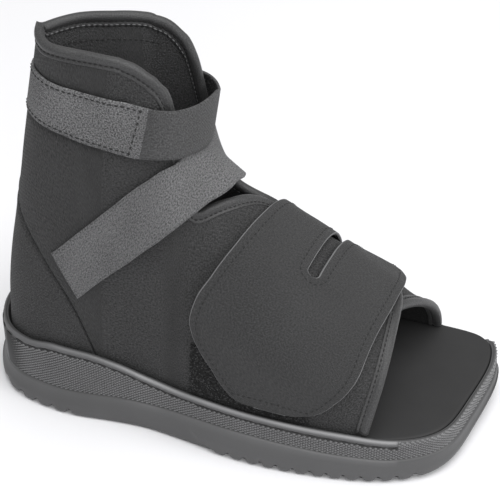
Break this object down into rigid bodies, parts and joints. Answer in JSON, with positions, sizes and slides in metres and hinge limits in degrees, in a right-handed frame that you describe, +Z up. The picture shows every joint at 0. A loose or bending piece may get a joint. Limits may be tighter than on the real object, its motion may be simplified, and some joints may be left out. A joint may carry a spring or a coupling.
{
  "type": "cast boot",
  "caption": "Open-toe padded cloth boot on a thick rubber cup sole, with a wide forefoot flap and crossing ankle straps, worn over a cast or bandage.",
  "frame": {"origin": "on the floor, below the middle of the boot's box", "axes": "+X towards the toe, +Y towards the inner side of a right foot, +Z up"},
  "size_m": [0.304, 0.128, 0.2469],
  "materials": {
    "rubber": "matte moulded grey rubber",
    "foam": "smooth dark foam",
    "cloth": "matte charcoal laminated cloth over thin foam",
    "tape": "satin woven binding tape",
    "loop": "fuzzy dark loop fabric",
    "flap": "matte charcoal laminated cloth",
    "webbing": "mid grey woven strap"
  },
  "bodies": {
    "root": {"sole": "rubber", "insole": "foam", "upper": "cloth", "heel_panel": "cloth", "collar_binding": "tape", "near_vamp_binding": "tape", "far_vamp_binding": "tape", "loop_patch": "loop", "forefoot_flap": "flap", "ankle_strap": "webbing", "instep_strap": "webbing"}
  },
  "joints": []
}
